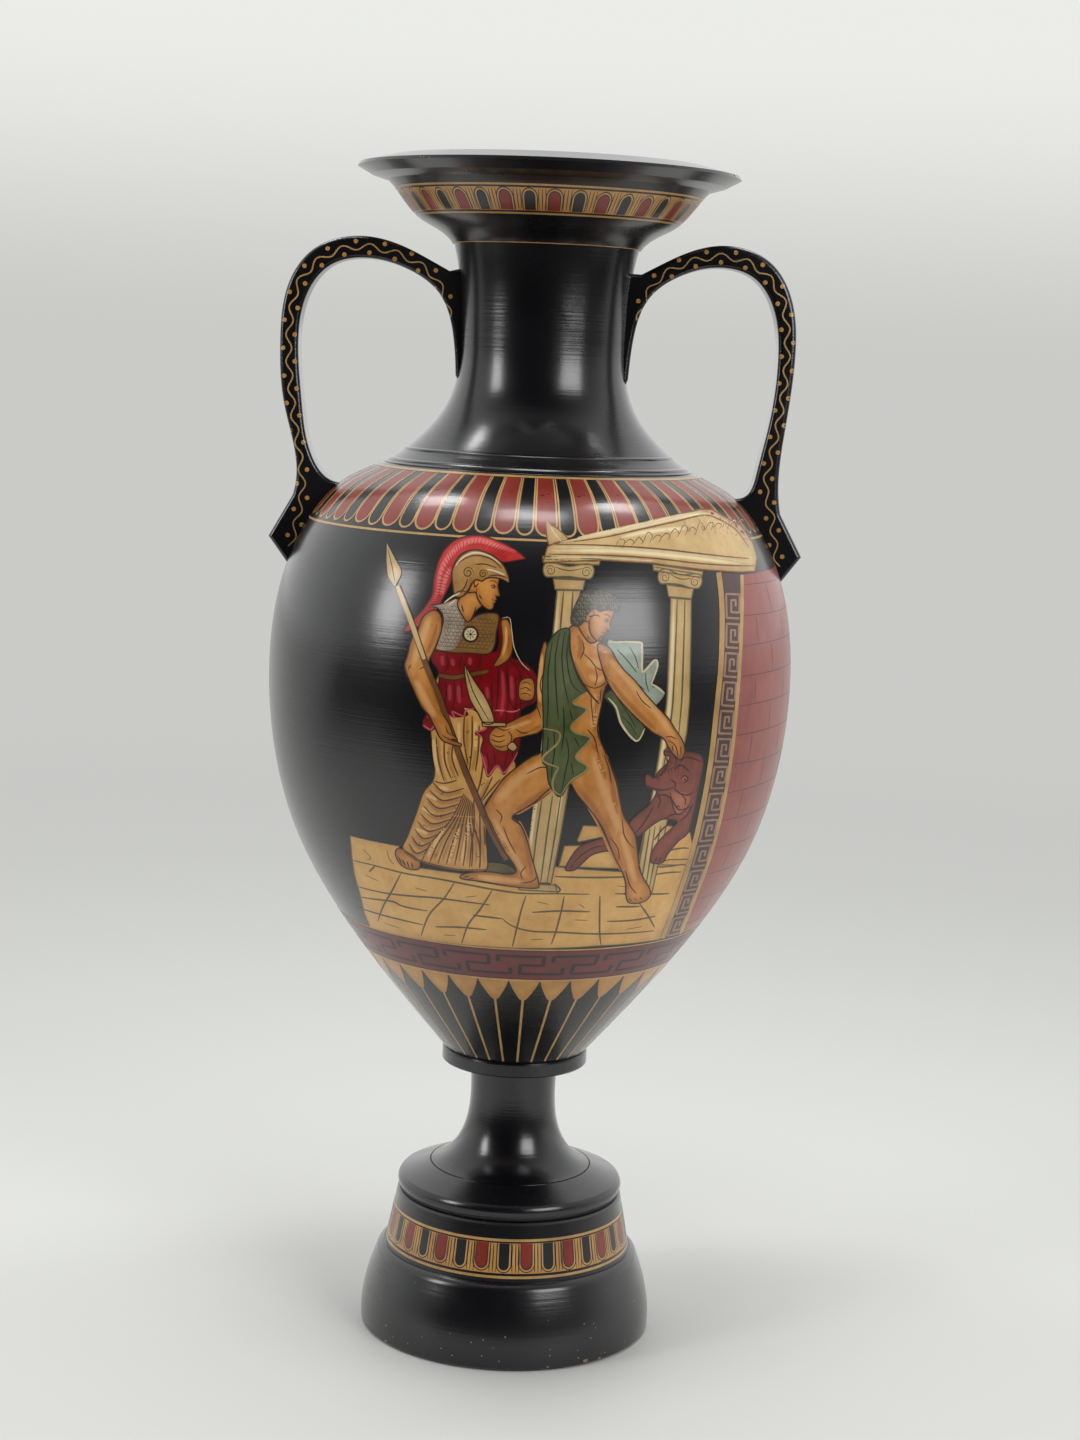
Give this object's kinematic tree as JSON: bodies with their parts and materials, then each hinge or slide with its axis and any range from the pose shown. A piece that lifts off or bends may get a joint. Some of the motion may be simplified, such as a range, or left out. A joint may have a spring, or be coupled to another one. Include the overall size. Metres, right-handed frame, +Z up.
{
  "type": "neck amphora",
  "caption": "Tall two-handled painted vase with a flaring mouth, open loops at the neck and a stemmed foot on a stepped round plinth, for display.",
  "frame": {"origin": "centre of the ring that the plinth stands on", "axes": "+Z up the vase's axis, +X through the right handle, -Y out of the painted front"},
  "size_m": [0.268, 0.2644, 0.5975],
  "materials": {
    "black_glaze": "satin",
    "ochre_paint": "satin",
    "red_paint": "satin",
    "crimson_paint": "satin",
    "flesh_paint": "satin",
    "brown_paint": "satin",
    "green_paint": "satin",
    "cream_paint": "satin",
    "terracotta": "matte"
  },
  "bodies": {
    "root": {"mouth_flange": "black_glaze", "mouth_bowl": "black_glaze", "neck": "black_glaze", "shoulder": "black_glaze", "upper_body": "black_glaze", "lower_body": "black_glaze", "body_base": "black_glaze", "collar": "black_glaze", "foot_stem": "black_glaze", "foot_disc": "black_glaze", "plinth_drum": "black_glaze", "plinth_base": "black_glaze", "handle_left": "black_glaze", "handle_right": "black_glaze"}
  },
  "joints": []
}
